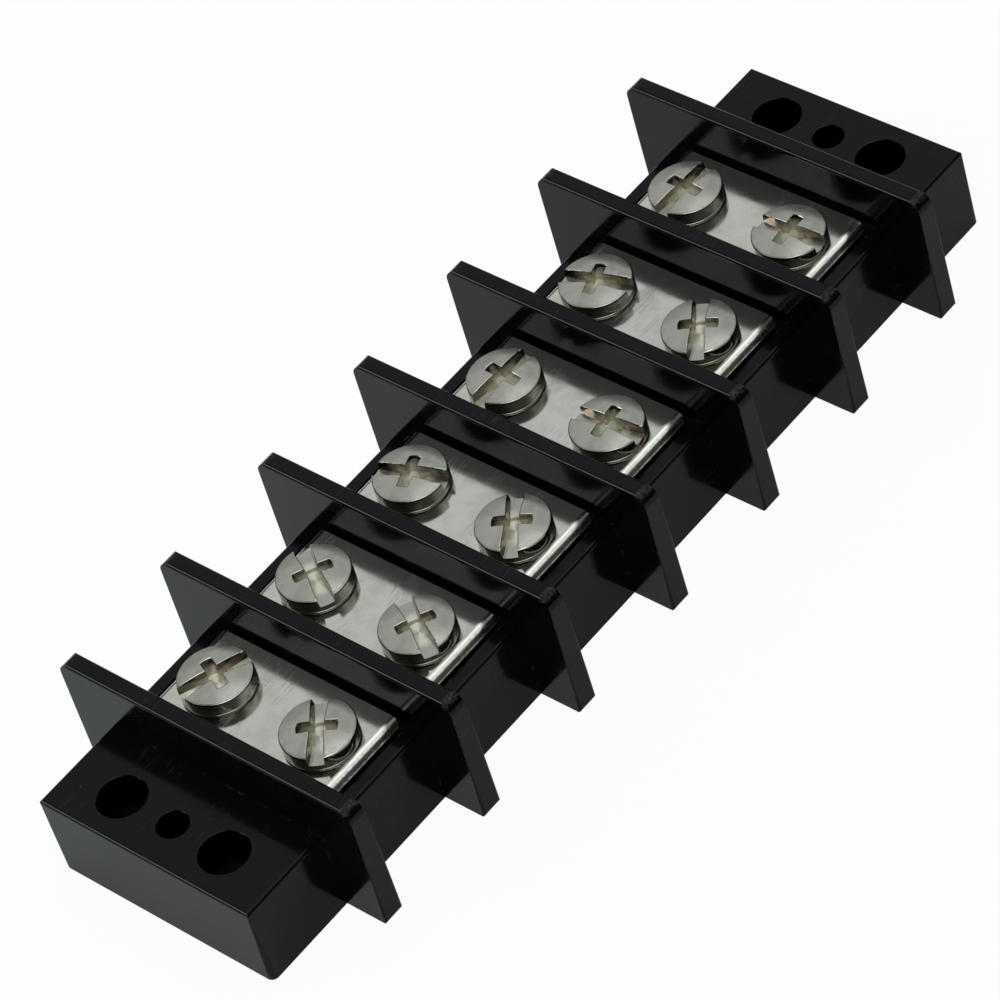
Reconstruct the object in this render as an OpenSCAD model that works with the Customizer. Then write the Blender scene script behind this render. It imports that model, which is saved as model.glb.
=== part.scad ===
// Barrier terminal strip: one moulded housing, a bent terminal plate in each row
// and two combination-drive screws in each plate.
// The strip runs along X, the screws of a row stand side by side along Y, +Z is up.

/* [Rows] */
// Rows of terminals
ways = 6; // [2:1:8]
// Distance from one row to the next
pitch = 19; // [17:0.5:24]
// Distance between the two screws of a row
screw_spacing = 17.4; // [15:0.2:18]

/* [Base] */
// Width of the base under the terminals
base_w = 36; // [35:0.5:44]
// Height of the base and of its two end blocks
base_h = 12.8; // [12:0.2:18]
// From the middle of an end barrier to the end face
end_l = 15.5; // [14:0.5:24]
// Lean of the base's outer walls, in degrees
base_draft = 1; // [0:0.25:2]
// Radius of the base's upright corners
base_corner_r = 1; // [0.3:0.1:2]
// Radius along the base's top edges
base_edge_r = 0.5; // [0.1:0.05:0.8]

/* [Barriers] */
// Height of a barrier, from the bottom of the strip
barrier_h = 20.8; // [18.5:0.1:30]
// How far a barrier's wings stand out past the base
wing_out = 6.6; // [3:0.2:10]
// Thickness of a barrier at the bottom
barrier_foot_t = 3.2; // [2.8:0.1:4]
// Thickness of a barrier at the top
barrier_top_t = 2.5; // [1.6:0.1:2.8]
// Radius of a barrier's top corners
barrier_corner_r = 2; // [0.8:0.1:4]
// Radius of a barrier's bottom corners
wing_corner_r = 0.5; // [0.2:0.1:1.5]
// Radius along a barrier's top edges
barrier_edge_r = 0.5; // [0.1:0.05:0.7]
// Radius along the upright edges of a wing
wing_edge_r = 0.4; // [0.1:0.05:0.7]

/* [End holes] */
// Diameter of the outer fixing holes
fix_hole_d = 6.6; // [4:0.1:7]
// Distance between the two outer fixing holes of one end
fix_hole_spacing = 17.4; // [15:0.2:20]
// Diameter of the centre hole
centre_hole_d = 4.2; // [2:0.1:5]
// From the end face to the line of holes
hole_inset = 6.1; // [5:0.1:8]
// Radius round the mouth of each hole
mouth_r = 0.2; // [0.1:0.05:0.5]

/* [Terminal plates] */
// Thickness of the plate
plate_t = 1.2; // [0.8:0.1:1.6]
// Gap between the plate and the barriers beside it
plate_gap = 0.7; // [0.3:0.1:1.2]
// Inside radius of the bend
bend_r = 0.3; // [0.1:0.1:0.8]
// How far the bent ends reach below the plate
tab_l = 4.5; // [2:0.1:6]
// Radius of the plate's corners beside each bend
plate_corner = 0.9; // [0.4:0.1:1.4]
// Width of the rim left outside each slot
rim_w = 2; // [1.4:0.1:2.4]
// Gap between the bent end and the rim
rim_gap = 0.5; // [0.2:0.05:0.9]
// Gap at the inner face, the sides and the bottom of a bent end
slot_gap = 0.3; // [0.15:0.05:0.5]
// Wall of the collar drawn down round each threaded hole
collar_wall = 0.9; // [0.6:0.1:1.2]
// Height of that collar
collar_h = 1.3; // [0.6:0.1:2]

/* [Screws] */
// Outside diameter of the screw's thread
screw_d = 5; // [4:0.1:5.5]
// Length of the screw under its head
screw_l = 10; // [7:0.5:10.5]
// Diameter of the head
head_d = 10; // [8.5:0.1:11]
// Height of the head's side
head_h = 2.25; // [2.1:0.05:3]
// Rise of the crown above the side
crown_h = 0.55; // [0.1:0.05:0.6]
// Radius round the head's lower edge
head_foot_r = 0.35; // [0.1:0.05:0.5]
// Radius round the head's upper edge
head_edge_r = 0.2; // [0.1:0.05:0.4]
// Width of the slot's floor at the middle of the head
slot_w = 1.1; // [0.9:0.1:1.6]
// How far each wall of the slot turns outwards towards the rim, in degrees
slot_splay = 5; // [0:0.5:6]
// Lean of the slot's walls, in degrees
slot_flare = 8; // [0:1:20]
// Depth of the slot below the head's upper edge
slot_depth = 1.15; // [0.8:0.05:1.5]
// Tip to tip length of the cross recess
cross_l = 5.5; // [4:0.1:6.5]
// Width of an arm of the cross
cross_w = 1.5; // [1:0.1:2]
// Depth of the cross recess below the crown
cross_depth = 2.1; // [1.4:0.05:2.3]
// Lean of the outer ends of the cross's arms, in degrees
cross_lean = 28; // [10:1:35]
// Chamfer at the screw's tip
tip_chamfer = 0.6; // [0.2:0.1:1]

/* [Clearances] */
// Radial clearance of the thread in its plate
thread_gap = 0.05; // [0.02:0.01:0.1]
// Gap between the head and the plate
seat_gap = 0.05; // [0.02:0.01:0.1]
// Radial gap round the collar in its well
well_gap = 0.5; // [0.2:0.1:0.8]
// Room under the screw's tip
tip_gap = 0.8; // [0.4:0.1:1.2]

/* [Hidden] */
$fn = 96;
past = 1;

// Turn of each slot from the strip's length, as the screws happen to be left
screw_turns = [[158, 37], [60, 61], [110, 34], [177, 96], [108, 33], [177, 94]];
sides = [["left", 1], ["right", -1]];

strip_l = ways * pitch + 2 * end_l;
barrier_w = base_w + 2 * wing_out;
head_r = head_d / 2;
crown_r = (head_r * head_r + crown_h * crown_h) / (2 * crown_h);
head_top = head_h + crown_h;

// A barrier's thickness at the level of the plates
plate_top = base_h + plate_t;
barrier_lean = (barrier_foot_t - barrier_top_t) / barrier_h;
barrier_seat_t = barrier_foot_t - barrier_lean * base_h;
plate_w = pitch - barrier_seat_t - 2 * plate_gap;
plate_half = base_w / 2 - base_h * tan(base_draft) - rim_w - rim_gap;
tab_w = plate_w - 2 * plate_corner;
thread_hole_r = screw_d / 2 + thread_gap;
collar_r = thread_hole_r + collar_wall;
well_r = collar_r + well_gap;
screw_seat = plate_top + seat_gap;
well_floor = screw_seat - screw_l - tip_gap;

function screw_name(row, side) = str("screw_", row, "_", side[0]);
function row_x(row) = (row - (ways + 1) / 2) * pitch;
function barrier_x(i) = (i - ways / 2) * pitch;
function screw_turn(row, side) = screw_turns[(row - 1) % len(screw_turns)][side[1] > 0 ? 0 : 1];

// --- Shared outlines ---------------------------------------------------------

// Stands an outline drawn in Y and Z upright and runs it along X, centred
module along_x(l) {
    rotate([90, 0, 90]) translate([0, 0, -l / 2]) linear_extrude(l) children();
}

// Stands an outline drawn in X and Z upright and runs it along Y, centred
module along_y(l) {
    rotate([90, 0, 0]) translate([0, 0, -l / 2]) linear_extrude(l) children();
}

// Rectangle standing on the first axis, with its own top and bottom radii
module upright_outline(w, h, top_r, foot_r) {
    union() {
        translate([-w / 2, foot_r]) square([w, h - top_r - foot_r]);
        translate([-w / 2 + top_r, h / 2]) square([w - 2 * top_r, h / 2]);
        translate([-w / 2 + foot_r, 0]) square([w - 2 * foot_r, h / 2]);
        for (s = [-1, 1]) {
            translate([s * (w / 2 - top_r), h - top_r]) circle(top_r);
            translate([s * (w / 2 - foot_r), foot_r]) circle(foot_r);
        }
    }
}

// Wall outline that narrows from foot_w to top_w, with rounded top edges
module leaning_outline(foot_w, top_w, h, r) {
    lean = atan((foot_w - top_w) / 2 / h);
    // The arc touches the top and the leaning wall
    arc_x = top_w / 2 - r * (1 - sin(lean)) / cos(lean);
    touch_x = arc_x + r * cos(lean);
    touch_z = h - r + r * sin(lean);
    union() {
        polygon([
            [-foot_w / 2, 0], [foot_w / 2, 0],
            [touch_x, touch_z], [arc_x, h],
            [-arc_x, h], [-touch_x, touch_z]
        ]);
        for (s = [-1, 1]) translate([s * arc_x, h - r]) circle(r);
    }
}

module rounded_plan(l, w, r) {
    union() {
        square([l - 2 * r, w], center = true);
        square([l, w - 2 * r], center = true);
        for (sx = [-1, 1], sy = [-1, 1]) {
            translate([sx * (l / 2 - r), sy * (w / 2 - r)]) circle(r);
        }
    }
}

// --- Housing -----------------------------------------------------------------

module base_block() {
    slope = 2 * base_h * tan(base_draft);
    intersection() {
        along_x(strip_l + past) {
            leaning_outline(base_w, base_w - slope, base_h, base_edge_r);
        }
        along_y(base_w + past) {
            leaning_outline(strip_l, strip_l - slope, base_h, base_edge_r);
        }
        linear_extrude(base_h) rounded_plan(strip_l, base_w, base_corner_r);
    }
}

// One drafted barrier plate with its two wings
module barrier() {
    intersection() {
        along_x(barrier_foot_t + past) {
            upright_outline(barrier_w, barrier_h, barrier_corner_r, wing_corner_r);
        }
        along_y(barrier_w + past) {
            leaning_outline(barrier_foot_t, barrier_top_t, barrier_h, barrier_edge_r);
        }
        linear_extrude(barrier_h) rounded_plan(barrier_foot_t, barrier_w, wing_edge_r);
    }
}

// Slot in the deck that takes one bent end of a plate
module tab_slot() {
    inner = plate_half - plate_t - slot_gap;
    outer = plate_half + rim_gap;
    depth = tab_l + slot_gap;
    translate([-tab_w / 2 - slot_gap, inner, base_h - depth]) {
        cube([tab_w + 2 * slot_gap, outer - inner, depth + past]);
    }
}

module screw_well() {
    translate([0, screw_spacing / 2, well_floor]) {
        cylinder(r = well_r, h = base_h - well_floor + past);
    }
}

// Hole right through an end block, with a rounded mouth
module through_hole(d) {
    translate([0, 0, -past]) cylinder(d = d, h = base_h + 2 * past);
    translate([0, 0, base_h - mouth_r]) rotate_extrude() difference() {
        square([d / 2 + mouth_r, mouth_r + past]);
        translate([d / 2 + mouth_r, 0]) circle(mouth_r);
    }
}

module end_holes() {
    translate([strip_l / 2 - hole_inset, 0, 0]) {
        through_hole(centre_hole_d);
        for (s = [-1, 1]) translate([0, s * fix_hole_spacing / 2, 0]) through_hole(fix_hole_d);
    }
}

module housing() {
    color([0.045, 0.045, 0.05]) difference() {
        union() {
            base_block();
            for (i = [0:ways]) translate([barrier_x(i), 0, 0]) barrier();
        }
        for (row = [1:ways], m = [0, 1]) translate([row_x(row), 0, 0]) mirror([0, m, 0]) {
            tab_slot();
            screw_well();
        }
        for (m = [0, 1]) mirror([m, 0, 0]) end_holes();
    }
}

// --- Terminal plate ----------------------------------------------------------

// Section across the strip: a flat top and two ends bent down
module plate_section() {
    outer_r = bend_r + plate_t;
    reach = tab_l + plate_t;
    difference() {
        union() {
            translate([-plate_half, 0]) square([2 * plate_half, reach - outer_r]);
            translate([-plate_half + outer_r, 0]) square([2 * (plate_half - outer_r), reach]);
            for (s = [-1, 1]) {
                translate([s * (plate_half - outer_r), reach - outer_r]) circle(outer_r);
            }
        }
        inside = plate_half - plate_t;
        translate([-inside, -past]) square([2 * inside, tab_l - bend_r + past]);
        translate([-inside + bend_r, -past]) square([2 * (inside - bend_r), tab_l + past]);
        for (s = [-1, 1]) {
            translate([s * (inside - bend_r), tab_l - bend_r]) circle(bend_r);
        }
    }
}

module terminal_plate(row) {
    color([0.74, 0.74, 0.7]) translate([row_x(row), 0, base_h]) difference() {
        union() {
            // Flat on the deck the plate is full width, and below it only as wide as its slot
            intersection() {
                translate([0, 0, -tab_l]) along_x(plate_w + past) plate_section();
                union() {
                    linear_extrude(plate_t) rounded_plan(plate_w, 2 * plate_half, plate_corner);
                    translate([-tab_w / 2, -plate_half, -tab_l]) {
                        cube([tab_w, 2 * plate_half, tab_l + plate_t / 2]);
                    }
                }
            }
            for (s = [-1, 1]) translate([0, s * screw_spacing / 2, -collar_h]) {
                cylinder(r = collar_r, h = collar_h + plate_t / 2);
            }
        }
        for (s = [-1, 1]) translate([0, s * screw_spacing / 2, -collar_h - past]) {
            cylinder(r = thread_hole_r, h = collar_h + plate_t + 2 * past);
        }
    }
}

// --- Screw -------------------------------------------------------------------

// Half section of the head: rounded foot, upright side, slightly crowned top
module head_section() {
    intersection() {
        union() {
            translate([0, head_foot_r]) square([head_r, head_h - head_foot_r - head_edge_r]);
            square([head_r - head_foot_r, head_h / 2]);
            translate([head_r - head_foot_r, head_foot_r]) circle(head_foot_r);
            translate([head_r - head_edge_r, head_h - head_edge_r]) circle(head_edge_r);
            translate([0, head_h / 2]) square([head_r - head_edge_r, head_top]);
        }
        translate([0, head_top - crown_r]) circle(crown_r, $fn = 360);
        square([head_r + past, head_top + past]);
    }
}

// Slot right across the head, wider at the rim, its walls leaning outwards
module drive_slot() {
    rise = head_top + past - (head_h - slot_depth);
    spread = rise * tan(slot_flare);
    for (s = [-1, 1]) {
        rotate([0, 0, s * slot_splay]) translate([0, 0, head_h - slot_depth]) along_x(head_d + 2 * past) {
            polygon([
                [-slot_w / 2, 0], [slot_w / 2, 0],
                [slot_w / 2 + spread, rise], [-slot_w / 2 - spread, rise]
            ]);
        }
    }
}

// Cross recess whose arms narrow to a blunt point
module drive_cross() {
    tall = cross_depth + past;
    intersection() {
        translate([0, 0, head_top - cross_depth]) {
            cylinder(
                r1 = cross_l / 2 - cross_depth * tan(cross_lean),
                r2 = cross_l / 2 + past * tan(cross_lean),
                h = tall
            );
        }
        for (a = [0, 90]) rotate([0, 0, a]) {
            translate([-cross_l, -cross_w / 2, 0]) cube([2 * cross_l, cross_w, head_top + past]);
        }
    }
}

module screw(row, side) {
    color([0.78, 0.78, 0.75])
    translate([row_x(row), side[1] * screw_spacing / 2, screw_seat])
    rotate([0, 0, screw_turn(row, side)]) {
        difference() {
            rotate_extrude() head_section();
            drive_slot();
            drive_cross();
        }
        translate([0, 0, -screw_l + tip_chamfer]) {
            cylinder(d = screw_d, h = screw_l - tip_chamfer + head_foot_r);
        }
        translate([0, 0, -screw_l]) {
            cylinder(d1 = screw_d - 2 * tip_chamfer, d2 = screw_d, h = tip_chamfer);
        }
    }
}

// --- Nodes -------------------------------------------------------------------

housing();
for (row = [1:ways]) {
    terminal_plate(row);
    for (side = sides) {
        screw(row, side);
    }
}
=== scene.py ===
from math import cos, hypot, pi, radians, sin

import bmesh
import bpy
from mathutils import Matrix, Vector


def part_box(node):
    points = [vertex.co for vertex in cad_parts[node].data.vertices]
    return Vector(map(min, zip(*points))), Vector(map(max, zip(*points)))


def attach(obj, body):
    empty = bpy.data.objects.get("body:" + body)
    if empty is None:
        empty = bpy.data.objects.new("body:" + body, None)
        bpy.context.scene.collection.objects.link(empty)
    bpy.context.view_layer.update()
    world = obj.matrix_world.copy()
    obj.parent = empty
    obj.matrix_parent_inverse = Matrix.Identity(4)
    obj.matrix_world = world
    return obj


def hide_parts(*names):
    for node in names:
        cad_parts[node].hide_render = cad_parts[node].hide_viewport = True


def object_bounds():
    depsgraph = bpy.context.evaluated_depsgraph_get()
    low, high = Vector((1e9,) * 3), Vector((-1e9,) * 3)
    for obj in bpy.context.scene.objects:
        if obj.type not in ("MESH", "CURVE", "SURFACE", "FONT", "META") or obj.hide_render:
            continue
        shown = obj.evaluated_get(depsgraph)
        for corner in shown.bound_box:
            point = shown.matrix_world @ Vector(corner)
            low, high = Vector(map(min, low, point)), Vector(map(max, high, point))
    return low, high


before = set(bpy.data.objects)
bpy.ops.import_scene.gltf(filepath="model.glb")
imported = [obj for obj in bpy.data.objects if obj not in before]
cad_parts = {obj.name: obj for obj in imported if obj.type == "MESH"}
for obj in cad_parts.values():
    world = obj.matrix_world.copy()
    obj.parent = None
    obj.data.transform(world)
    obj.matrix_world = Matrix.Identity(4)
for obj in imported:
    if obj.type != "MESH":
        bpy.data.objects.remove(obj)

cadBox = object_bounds()
mm = 0.001

cameraView = {
    "aim": (-3.93 * mm, -0.23 * mm, 10.4 * mm),  # the point looked at
    "distance": 679.4 * mm,
    "azimuth": -36.74,     # degrees, 0 looks along +Y
    "elevation": 45.65,
    "roll": 18.35,
    "lens": 192.9,
    "sensor": 36.0,
}


def placeCamera(view):
    azimuth, elevation = radians(view["azimuth"]), radians(view["elevation"])
    ahead = Vector((-sin(azimuth) * cos(elevation), cos(azimuth) * cos(elevation), -sin(elevation)))
    right = Vector((cos(azimuth), sin(azimuth), 0))
    right = Matrix.Rotation(radians(view["roll"]), 3, ahead) @ right
    up = right.cross(ahead)
    camData = bpy.data.cameras.new("viewCamera")
    camData.lens = view["lens"]
    camData.sensor_width = view["sensor"]
    camera = bpy.data.objects.new("viewCamera", camData)
    bpy.context.scene.collection.objects.link(camera)
    turn = Matrix((right, up, -ahead)).transposed().to_4x4()
    spot = Vector(view["aim"]) - view["distance"] * ahead
    camera.matrix_world = Matrix.Translation(spot) @ turn
    bpy.context.scene.camera = camera


# small helpers for building materials out of nodes
def addNode(tree, kind, **settings):
    node = tree.nodes.new(kind)
    for key, value in settings.items():
        if key in node.inputs:
            node.inputs[key].default_value = value
        else:
            setattr(node, key, value)
    return node


def blankMaterial(name):
    mat = bpy.data.materials.new(name)
    mat.use_nodes = True
    mat.node_tree.nodes.clear()
    return mat, mat.node_tree


def feed(tree, socket, value):
    # a socket takes either a link from another node or a plain number or colour
    if isinstance(value, bpy.types.NodeSocket):
        tree.links.new(value, socket)
    else:
        socket.default_value = value


def scaled(tree, vector, factor, turn=(0, 0, 0)):
    mapping = addNode(tree, "ShaderNodeMapping")
    mapping.inputs["Scale"].default_value = factor
    mapping.inputs["Rotation"].default_value = [radians(a) for a in turn]
    tree.links.new(vector, mapping.inputs["Vector"])
    return mapping.outputs[0]


def noise(tree, vector, scale, detail=2.0, rough=0.5, warp=0.0):
    node = addNode(tree, "ShaderNodeTexNoise", Scale=scale, Detail=detail, Roughness=rough, Distortion=warp)
    tree.links.new(vector, node.inputs["Vector"])
    return node.outputs["Fac"]


def remap(tree, value, lowIn, highIn, lowOut=0.0, highOut=1.0):
    node = addNode(tree, "ShaderNodeMapRange", interpolation_type="SMOOTHSTEP")
    node.inputs["From Min"].default_value = lowIn
    node.inputs["From Max"].default_value = highIn
    node.inputs["To Min"].default_value = lowOut
    node.inputs["To Max"].default_value = highOut
    tree.links.new(value, node.inputs["Value"])
    return node.outputs["Result"]


def maths(tree, operation, a, b=0.0):
    node = addNode(tree, "ShaderNodeMath", operation=operation)
    feed(tree, node.inputs[0], a)
    feed(tree, node.inputs[1], b)
    return node.outputs[0]


def blend(tree, factor, a, b):
    node = addNode(tree, "ShaderNodeMix", data_type="RGBA")
    feed(tree, node.inputs[0], factor)
    feed(tree, node.inputs[6], a)
    feed(tree, node.inputs[7], b)
    return node.outputs[2]


def between(tree, factor, a, b):
    node = addNode(tree, "ShaderNodeMix", data_type="FLOAT")
    feed(tree, node.inputs[0], factor)
    feed(tree, node.inputs[2], a)
    feed(tree, node.inputs[3], b)
    return node.outputs[0]


def splitAxes(tree, vector):
    parts = addNode(tree, "ShaderNodeSeparateXYZ")
    tree.links.new(vector, parts.inputs[0])
    return parts.outputs


def bump(tree, height, depth, strength=1.0, under=None):
    node = addNode(tree, "ShaderNodeBump", Strength=strength, Distance=depth)
    tree.links.new(height, node.inputs["Height"])
    if under:
        tree.links.new(under, node.inputs["Normal"])
    return node.outputs[0]


def inMillimetres(tree):
    where = addNode(tree, "ShaderNodeTexCoord")
    return scaled(tree, where.outputs["Object"], (1000, 1000, 1000))


def roundedNormal(tree, radius):
    node = addNode(tree, "ShaderNodeBevel", samples=6, Radius=radius)
    return node.outputs[0]


def edgeMask(tree, radius, full):
    # 1 along the edges, 0 on the open faces
    flat = addNode(tree, "ShaderNodeNewGeometry")
    facing = addNode(tree, "ShaderNodeVectorMath", operation="DOT_PRODUCT")
    tree.links.new(roundedNormal(tree, radius), facing.inputs[0])
    tree.links.new(flat.outputs["Normal"], facing.inputs[1])
    return remap(tree, facing.outputs["Value"], 1.0, full)


def hairScratches(tree, place, turn, length, spacing, share):
    # long thin lines: a stretched noise cut close to its middle value, kept in a few patches
    stretched = scaled(tree, place, (1 / length, 1 / spacing, 1 / spacing), turn)
    lines = noise(tree, stretched, 1.0, 1.0, 0.4)
    offset = maths(tree, "ABSOLUTE", maths(tree, "SUBTRACT", lines, 0.5))
    thin = remap(tree, offset, 0.012, 0.0)
    patches = remap(tree, noise(tree, place, 0.16, 1.0), 0.62 - share, 0.72 - share)
    return maths(tree, "MULTIPLY", thin, patches)


def specks(tree, place, scale, size, share):
    cells = addNode(tree, "ShaderNodeTexVoronoi", Scale=scale, Randomness=1.0)
    tree.links.new(place, cells.inputs["Vector"])
    dots = remap(tree, cells.outputs["Distance"], size, size * 0.5)
    pick = addNode(tree, "ShaderNodeSeparateColor")
    tree.links.new(cells.outputs["Color"], pick.inputs[0])
    chosen = maths(tree, "LESS_THAN", pick.outputs[0], share)
    return maths(tree, "MULTIPLY", dots, chosen)


def closeMaterial(tree, shader, tint, roughness, skin):
    tree.links.new(tint, shader.inputs["Base Color"])
    tree.links.new(roughness, shader.inputs["Roughness"])
    tree.links.new(skin, shader.inputs["Normal"])
    surface = addNode(tree, "ShaderNodeOutputMaterial")
    tree.links.new(shader.outputs[0], surface.inputs["Surface"])


studio = {
    "floorSize": 6.0,
    "floorDrop": 0.05 * mm,  # the floor lies this far under the base
    "floorColor": (0.84, 0.885, 0.90, 1),
    "floorWhite": 0.95,      # how far the floor is pure white to the camera
    "floorGloss": 0.25,      # and how far it is so in reflections
    "coverInset": 1 * mm,    # the base's own patch of floor stops this far inside its ends
    "coverShare": 0.6,       # and at this share of the strip's half width
    "roomLevel": 0.07,      # the dark room round the panels
    "roomColor": (0.92, 0.98, 1.0, 1),
    # soft panels on the studio's ceiling: direction, half angles of the even part and of the fade, level
    "panels": [
        {"towards": (0.20, -0.20, 0.96), "even": 21, "fade": 33, "level": 1.1},
        {"towards": (0.40, 0.50, 0.76), "even": 24, "fade": 36, "level": 0.62},
        {"towards": (-0.70, 0.56, 0.45), "even": 7, "fade": 13, "level": 7.0},
        {"towards": (-0.42, 0.56, 0.72), "even": 8, "fade": 20, "level": 0.6},
        {"towards": (-0.18, -0.24, 0.95), "even": 12, "fade": 19, "level": 2.6},
    ],
}


def layFloor():
    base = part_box("housing")
    level = cadBox[0][2] - studio["floorDrop"]
    bpy.ops.mesh.primitive_plane_add(size=studio["floorSize"], location=(0, 0, level))
    floor = bpy.context.object
    floor.name = "studioFloor"
    mat, tree = blankMaterial("floorWhite")
    matte = addNode(tree, "ShaderNodeBsdfDiffuse", Color=studio["floorColor"])
    white = addNode(tree, "ShaderNodeEmission", Strength=1.0)
    path = addNode(tree, "ShaderNodeLightPath")
    seen = maths(tree, "MULTIPLY", path.outputs["Is Camera Ray"], studio["floorWhite"])
    mirrored = maths(tree, "MULTIPLY", path.outputs["Is Glossy Ray"], studio["floorGloss"])
    # the base covers its own patch of floor, which stays dark under the holes
    where = addNode(tree, "ShaderNodeTexCoord")
    spot = splitAxes(tree, where.outputs["Object"])
    halfLength = base[1][0] - studio["coverInset"]
    halfWidth = base[1][1] * studio["coverShare"]
    along = maths(tree, "GREATER_THAN", maths(tree, "ABSOLUTE", spot["X"]), halfLength)
    across = maths(tree, "GREATER_THAN", maths(tree, "ABSOLUTE", spot["Y"]), halfWidth)
    bare = maths(tree, "MAXIMUM", along, across)
    mix = addNode(tree, "ShaderNodeMixShader")
    out = addNode(tree, "ShaderNodeOutputMaterial")
    tree.links.new(maths(tree, "MULTIPLY", maths(tree, "ADD", seen, mirrored), bare), mix.inputs[0])
    tree.links.new(matte.outputs[0], mix.inputs[1])
    tree.links.new(white.outputs[0], mix.inputs[2])
    tree.links.new(mix.outputs[0], out.inputs["Surface"])
    floor.data.materials.append(mat)


def lightWorld():
    world = bpy.data.worlds.new("studioWorld")
    bpy.context.scene.world = world
    world.use_nodes = True
    tree = world.node_tree
    tree.nodes.clear()
    where = addNode(tree, "ShaderNodeTexCoord")
    level = studio["roomLevel"]
    for panel in studio["panels"]:
        facing = addNode(tree, "ShaderNodeVectorMath", operation="DOT_PRODUCT")
        facing.inputs[1].default_value = Vector(panel["towards"]).normalized()
        tree.links.new(where.outputs["Generated"], facing.inputs[0])
        glow = remap(tree, facing.outputs["Value"], cos(radians(panel["fade"])), cos(radians(panel["even"])),
                     0.0, panel["level"])
        level = maths(tree, "ADD", glow, level)
    sky = addNode(tree, "ShaderNodeBackground", Color=studio["roomColor"])
    white = addNode(tree, "ShaderNodeBackground", Color=(1, 1, 1, 1), Strength=1.0)
    path = addNode(tree, "ShaderNodeLightPath")
    mix = addNode(tree, "ShaderNodeMixShader")
    out = addNode(tree, "ShaderNodeOutputWorld")
    tree.links.new(level, sky.inputs["Strength"])
    tree.links.new(path.outputs["Is Camera Ray"], mix.inputs[0])
    tree.links.new(sky.outputs[0], mix.inputs[1])
    tree.links.new(white.outputs[0], mix.inputs[2])
    tree.links.new(mix.outputs[0], out.inputs["Surface"])


blackMoulding = {
    "color": (0.0012, 0.0014, 0.002, 1),
    "dustColor": (0.16, 0.15, 0.13, 1),
    "wearAndHighlightColor": (0.07, 0.07, 0.072, 1),   # where an edge is rubbed, and on the barriers' top corners also a painted highlight
    "ior": 1.25,
    "smooth": 0.11,
    "dull": 0.15,
    "rubbedRoughness": 0.2,
    "rubbedReach": 0.35 * mm,
    "dust": {"scale": 0.5, "size": 0.045, "share": 0.22},
    "scratches": {"turn": (0, 0, 28), "length": 14.0, "spacing": 0.5, "share": 0.1},
    "wavesDepth": 0.006 * mm,
    "dustDepth": 0.004 * mm,
}


def makeBlackMoulding(look):
    mat, tree = blankMaterial("blackMoulding")
    side, top = cadBox[1][1] / mm, cadBox[1][2] / mm
    place = inMillimetres(tree)
    clouds = noise(tree, place, 0.09, 3.0, 0.6)
    dust = specks(tree, place, **look["dust"])
    scratches = hairScratches(tree, place, **look["scratches"])
    rubbedAndHighlit = maths(tree, "MULTIPLY", edgeMask(tree, look["rubbedReach"], 0.93),
                   remap(tree, noise(tree, place, 0.8, 4.0, 0.7), 0.52, 0.68))
    # the barriers' top corners are knocked about the most; the lighter colour there is partly real wear and
    # partly a painted highlight on the corner rounding
    axes = splitAxes(tree, place)
    outward = maths(tree, "ABSOLUTE", axes["Y"])
    inBand = maths(tree, "MULTIPLY", remap(tree, outward, side - 1.7, side - 1.2),
                   remap(tree, outward, side - 0.35, side - 0.7))
    corner = maths(tree, "MULTIPLY", remap(tree, axes["Z"], top - 1.0, top - 0.4), inBand)
    knocksAndHighlight = maths(tree, "MULTIPLY", corner, remap(tree, noise(tree, place, 2.2, 4.0, 0.75), 0.42, 0.62))
    rubbedAndHighlit = maths(tree, "MAXIMUM", rubbedAndHighlit, knocksAndHighlight)
    # lighter where rubbed: real wear along the edges, and painted highlight mixed with wear on the barriers'
    # top corners
    tint = blend(tree, maths(tree, "MULTIPLY", rubbedAndHighlit, 0.6), look["color"], look["wearAndHighlightColor"])
    tint = blend(tree, maths(tree, "MULTIPLY", dust, 0.7), tint, look["dustColor"])
    tint = blend(tree, maths(tree, "MULTIPLY", scratches, 0.25), tint, look["wearAndHighlightColor"])
    roughness = remap(tree, clouds, 0.35, 0.65, look["smooth"], look["dull"])
    roughness = maths(tree, "ADD", roughness, maths(tree, "MULTIPLY", rubbedAndHighlit, look["rubbedRoughness"]))
    skin = bump(tree, noise(tree, place, 0.9, 2.0), look["wavesDepth"])
    skin = bump(tree, maths(tree, "SUBTRACT", dust, scratches), look["dustDepth"], 1.0, skin)
    shader = addNode(tree, "ShaderNodeBsdfPrincipled", IOR=look["ior"])
    closeMaterial(tree, shader, tint, roughness, skin)
    return mat


platedPlate = {
    "color": (0.68, 0.665, 0.595, 1),
    "clouded": (0.60, 0.585, 0.515, 1),
    "speck": (0.20, 0.19, 0.16, 1),
    "streaked": (0.30, 0.30, 0.27, 1),
    "edgeRound": 0.14 * mm,
    "smooth": 0.11,
    "dull": 0.16,
    "streakRoughness": 0.12,
    "marks": {"scale": 0.9, "size": 0.05, "share": 0.3},
    "scratches": [
        {"turn": (0, 0, 63), "length": 9.0, "spacing": 0.6, "share": 0.09},
        {"turn": (0, 0, -21), "length": 6.0, "spacing": 0.5, "share": 0.06},
    ],
    "wavesDepth": 0.01 * mm,
    "grainDepth": 0.002 * mm,
    "marksDepth": 0.004 * mm,
}


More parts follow.
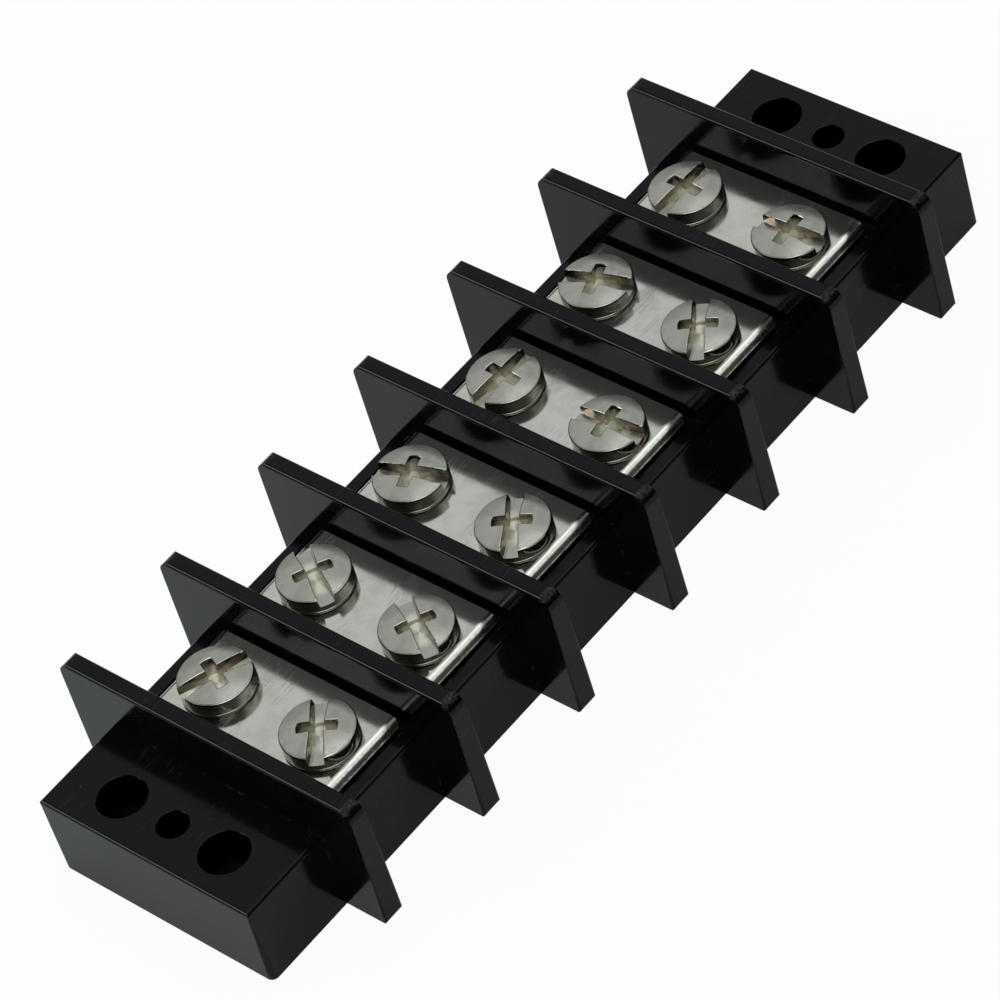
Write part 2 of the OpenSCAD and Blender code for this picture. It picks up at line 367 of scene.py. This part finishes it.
def makePlatedPlate(look):
    mat, tree = blankMaterial("platedPlate")
    place = inMillimetres(tree)
    clouds = noise(tree, place, 0.22, 4.0, 0.65)
    grains = noise(tree, place, 5.0, 2.0)
    marks = specks(tree, place, **look["marks"])
    one, other = [hairScratches(tree, place, **kind) for kind in look["scratches"]]
    scratches = maths(tree, "ADD", one, other)
    # the bent ends were wiped over the die, which left streaks down them
    facing = addNode(tree, "ShaderNodeNewGeometry")
    tilt = splitAxes(tree, facing.outputs["True Normal"])
    onEnds = remap(tree, maths(tree, "ABSOLUTE", tilt["Y"]), 0.3, 0.8)
    streaks = noise(tree, scaled(tree, place, (2.2, 2.2, 0.12)), 1.0, 3.0, 0.6)
    streaks = maths(tree, "MULTIPLY", onEnds, remap(tree, streaks, 0.42, 0.62))
    tint = blend(tree, remap(tree, clouds, 0.4, 0.66), look["color"], look["clouded"])
    tint = blend(tree, maths(tree, "MULTIPLY", streaks, 0.75), tint, look["streaked"])
    tint = blend(tree, maths(tree, "MULTIPLY", marks, 0.8), tint, look["speck"])
    tint = blend(tree, maths(tree, "MULTIPLY", scratches, 0.35), tint, look["speck"])
    roughness = remap(tree, clouds, 0.35, 0.65, look["smooth"], look["dull"])
    roughness = maths(tree, "ADD", roughness, maths(tree, "MULTIPLY", streaks, look["streakRoughness"]))
    skin = roundedNormal(tree, look["edgeRound"])
    skin = bump(tree, noise(tree, place, 0.45, 2.0), look["wavesDepth"], 1.0, skin)
    skin = bump(tree, grains, look["grainDepth"], 1.0, skin)
    skin = bump(tree, maths(tree, "ADD", marks, scratches), -look["marksDepth"], 1.0, skin)
    shader = addNode(tree, "ShaderNodeBsdfPrincipled", Metallic=1.0)
    closeMaterial(tree, shader, tint, roughness, skin)
    return mat


screwHead = {
    "rise": 2.8 * mm,            # from the seat to the top of the crown
    "crown": 0.55 * mm,          # how far the crown stands above the head's upper edge
    "radius": 5.0 * mm,
    "weld": 0.036 * mm,
    "edgeRound": 0.14 * mm,      # radius that the forming left along the slot and the cross
    "edgeSteps": 3,
    "edgeReach": 4.72 * mm,      # out to where the crown's own rounding starts
    "edgeDepth": 0.75 * mm,      # and down to here under the top
    "edgeAngle": radians(35),    # flatter edges than this stay as they are
    "ballSlack": 0.008 * mm,     # a face this close to the crown's sphere belongs to it
    "ballMatch": 0.9995,
    "smoothBelow": radians(38),
}
platedScrew = {
    "color": (0.46, 0.445, 0.39, 1),
    "clouded": (0.40, 0.385, 0.335, 1),
    "recessPaintedLight": (0.72, 0.69, 0.56, 1),      # painted light: lighter than the head, down in the recess
    "brownPaintedReflection": (0.20, 0.09, 0.06, 1),   # painted reflection: brown patches round the side, for reddish-brown surroundings mirrored there
    "topSmooth": 0.17,
    "topDull": 0.27,
    "sideRoughness": 0.09,
    "recessRoughness": 0.5,
    "turned": 0.7,               # how far the turning marks stretch a highlight out from the middle
    "raysAround": 9.0,
    "raysLength": 0.35,
    "raysDepth": 0.01 * mm,
    "grainDepth": 0.0015 * mm,
}


def makePlatedScrew(look):
    mat, tree = blankMaterial("platedScrew")
    place = inMillimetres(tree)         # measured from the screw's own axis, at its seat
    rise = screwHead["rise"] / mm
    axes = splitAxes(tree, place)
    angle = maths(tree, "ARCTAN2", axes["Y"], axes["X"])
    flat = addNode(tree, "ShaderNodeCombineXYZ")
    tree.links.new(axes["X"], flat.inputs["X"])
    tree.links.new(axes["Y"], flat.inputs["Y"])
    length = addNode(tree, "ShaderNodeVectorMath", operation="LENGTH")
    tree.links.new(flat.outputs[0], length.inputs[0])
    radius = length.outputs["Value"]
    facing = addNode(tree, "ShaderNodeNewGeometry")
    tilt = splitAxes(tree, facing.outputs["True Normal"])
    onTop = remap(tree, tilt["Z"], 0.5, 0.9)
    # fine lines left by the header, running out from the middle
    polar = addNode(tree, "ShaderNodeCombineXYZ")
    feed(tree, polar.inputs["X"], maths(tree, "MULTIPLY", angle, look["raysAround"]))
    feed(tree, polar.inputs["Y"], maths(tree, "MULTIPLY", radius, look["raysLength"]))
    rays = noise(tree, polar.outputs[0], 2.0, 3.0, 0.6)
    crownOnly = remap(tree, axes["Z"], rise - 0.75, rise - 0.6)
    rays = maths(tree, "MULTIPLY", rays, maths(tree, "MULTIPLY", onTop, crownOnly))
    clouds = noise(tree, place, 0.35, 4.0, 0.65)
    grains = noise(tree, place, 6.0, 2.0)
    sunk = maths(tree, "MULTIPLY", remap(tree, axes["Z"], rise - 0.55, rise - 1.3),
                 remap(tree, radius, 3.6, 2.0))
    # painted reflection: brown patches on the side walls and recess walls, away from the top
    spots = maths(tree, "MULTIPLY", remap(tree, noise(tree, place, 0.33, 2.0), 0.56, 0.68),
                  maths(tree, "SUBTRACT", 1.0, onTop))
    tint = blend(tree, remap(tree, clouds, 0.4, 0.66), look["color"], look["clouded"])
    # painted light: the slot and the cross are coloured lighter than the head
    tint = blend(tree, maths(tree, "MULTIPLY", sunk, 0.85), tint, look["recessPaintedLight"])
    tint = blend(tree, maths(tree, "MULTIPLY", spots, 0.7), tint, look["brownPaintedReflection"])
    satin = remap(tree, clouds, 0.35, 0.65, look["topSmooth"], look["topDull"])
    roughness = between(tree, onTop, look["sideRoughness"], satin)
    roughness = between(tree, sunk, roughness, look["recessRoughness"])
    skin = bump(tree, rays, look["raysDepth"])
    skin = bump(tree, grains, look["grainDepth"], 1.0, skin)
    around = addNode(tree, "ShaderNodeTangent", direction_type="RADIAL", axis="Z")
    shader = addNode(tree, "ShaderNodeBsdfPrincipled", **{
        "Metallic": 1.0, "Anisotropic": look["turned"], "Anisotropic Rotation": 0.25})
    tree.links.new(around.outputs[0], shader.inputs["Tangent"])
    closeMaterial(tree, shader, tint, roughness, skin)
    return mat


screwThread = {
    "crest": 2.5 * mm,
    "root": 2.07 * mm,
    "pitch": 0.8 * mm,
    "tip": 0.6 * mm,
    "point": 0.5 * mm,           # the cone at the tip ends at this radius
    "around": 32,
    "ringsPerTurn": 8,
    "runIn": 0.5 * mm,           # how far the threaded part reaches up into the head
    "plain": 0.3 * mm,           # left without a thread under the head
    "flankSlope": 1.35,          # with flankStart, sets the flat crest and the flat root
    "flankStart": 0.15,
}


def screwAxis(name):
    low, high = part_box(name)
    return (low[0] + high[0]) / 2, (low[1] + high[1]) / 2


def threadMesh(bm, tip, look):
    # from the tip up to a little inside the head; the seat is at zero
    span = look["runIn"] - tip
    rings = int(span / look["pitch"] * look["ringsPerTurn"])
    rows = []
    for j in range(rings + 1):
        z = tip + span * j / rings
        room = look["root"] - look["tip"] + (z - tip)     # the tip is cut to a cone
        row = []
        for i in range(look["around"]):
            turn = 2 * pi * i / look["around"]
            phase = (z / look["pitch"] - i / look["around"]) % 1.0
            flank = min(1.0, max(0.0, abs(2 * phase - 1) * look["flankSlope"] - look["flankStart"]))
            if z > -look["plain"]:
                flank = 0.0
            r = look["root"] + (look["crest"] - look["root"]) * flank
            r = min(r, max(room, look["point"]))
            row.append(bm.verts.new((r * cos(turn), r * sin(turn), z)))
        rows.append(row)
    for low, high in zip(rows, rows[1:]):
        for i in range(look["around"]):
            k = (i + 1) % look["around"]
            bm.faces.new((low[i], low[k], high[k], high[i]))
    bm.faces.new(list(reversed(rows[0])))
    bm.faces.new(rows[-1])


def shadeHead(mesh, look):
    # the crown is shaded as the true sphere, and each other face with the large ones it runs into
    size, rise = look["radius"], look["crown"]
    ballRadius = (size * size + rise * rise) / (2 * rise)
    ballCentre = Vector((0, 0, look["rise"] - ballRadius))
    around = [[] for _ in mesh.vertices]
    crown = set()
    for face in mesh.polygons:
        outward = face.center - ballCentre
        near = abs(outward.length - ballRadius) < look["ballSlack"]
        if near and outward.normalized().dot(face.normal) > look["ballMatch"]:
            crown.add(face.index)
        for v in face.vertices:
            around[v].append(face.index)
    bend = cos(look["smoothBelow"])
    normals = []
    for face in mesh.polygons:
        for v in face.vertices:
            ballNormal = (mesh.vertices[v].co - ballCentre).normalized()
            if face.index in crown:
                normals.append(ballNormal)
                continue
            total = Vector()
            for index in around[v]:
                other = mesh.polygons[index]
                if other.normal.dot(face.normal) > bend:
                    total += (ballNormal if index in crown else other.normal) * other.area
            normals.append(total.normalized() if total.length > 0 else face.normal.copy())
    mesh.polygons.foreach_set("use_smooth", [True] * len(mesh.polygons))
    mesh.normals_split_custom_set(normals)


def formedRims(bm, look):
    # the edges where the crown breaks off into the slot and the cross
    rims = []
    for edge in bm.edges:
        if len(edge.link_faces) != 2 or not edge.is_convex:
            continue
        lift = max(face.normal.z for face in edge.link_faces)
        lowest = min(v.co.z for v in edge.verts)
        furthest = max(hypot(v.co.x, v.co.y) for v in edge.verts)
        onCrown = lift > 0.9 and lowest > look["rise"] - look["edgeDepth"] and furthest < look["edgeReach"]
        if onCrown and edge.calc_face_angle(0) >= look["edgeAngle"]:
            rims.append(edge)
    return rims


def formHead(bm, look):
    # the plain shank goes, and the crown's edges are rounded
    bmesh.ops.bisect_plane(bm, geom=bm.verts[:] + bm.edges[:] + bm.faces[:], dist=1e-7,
                           plane_co=(0, 0, -0.001 * mm), plane_no=(0, 0, 1), clear_inner=True)
    bmesh.ops.remove_doubles(bm, verts=bm.verts, dist=look["weld"])
    bmesh.ops.holes_fill(bm, edges=[e for e in bm.edges if e.is_boundary])
    bmesh.ops.dissolve_limit(bm, angle_limit=radians(0.1), verts=bm.verts, edges=bm.edges)
    bmesh.ops.bevel(bm, geom=formedRims(bm, look), offset=look["edgeRound"], segments=look["edgeSteps"],
                    profile=0.5, affect="EDGES", clamp_overlap=False)


def buildScrew(name, finish):
    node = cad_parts[name]
    low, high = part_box(name)
    x, y = screwAxis(name)
    seat = high[2] - screwHead["rise"]
    bm = bmesh.new()
    bm.from_mesh(node.data)
    bmesh.ops.translate(bm, verts=bm.verts, vec=(-x, -y, -seat))
    formHead(bm, screwHead)
    threadMesh(bm, low[2] - seat, screwThread)
    mesh = bpy.data.meshes.new("dressed_" + name)
    bm.to_mesh(mesh)
    bm.free()
    shadeHead(mesh, screwHead)
    mesh.materials.append(finish)
    piece = bpy.data.objects.new("dressed_" + name, mesh)
    bpy.context.scene.collection.objects.link(piece)
    piece.location = (x, y, seat)
    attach(piece, name)
    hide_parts(name)
    return piece


def coat(node, mat):
    node.data.materials.clear()
    node.data.materials.append(mat)


bpy.context.scene.view_settings.view_transform = "Standard"
placeCamera(cameraView)
layFloor()
lightWorld()
print("camera, floor and lights are set")

moulding = makeBlackMoulding(blackMoulding)
plateFinish = makePlatedPlate(platedPlate)
screwFinish = makePlatedScrew(platedScrew)
for name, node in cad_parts.items():
    if name == "housing":
        coat(node, moulding)
    elif name.startswith("terminal_plate"):
        coat(node, plateFinish)
print("housing and plates are finished")

screws = [buildScrew(name, screwFinish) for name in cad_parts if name.startswith("screw_")]
print(len(screws), "screws are built")
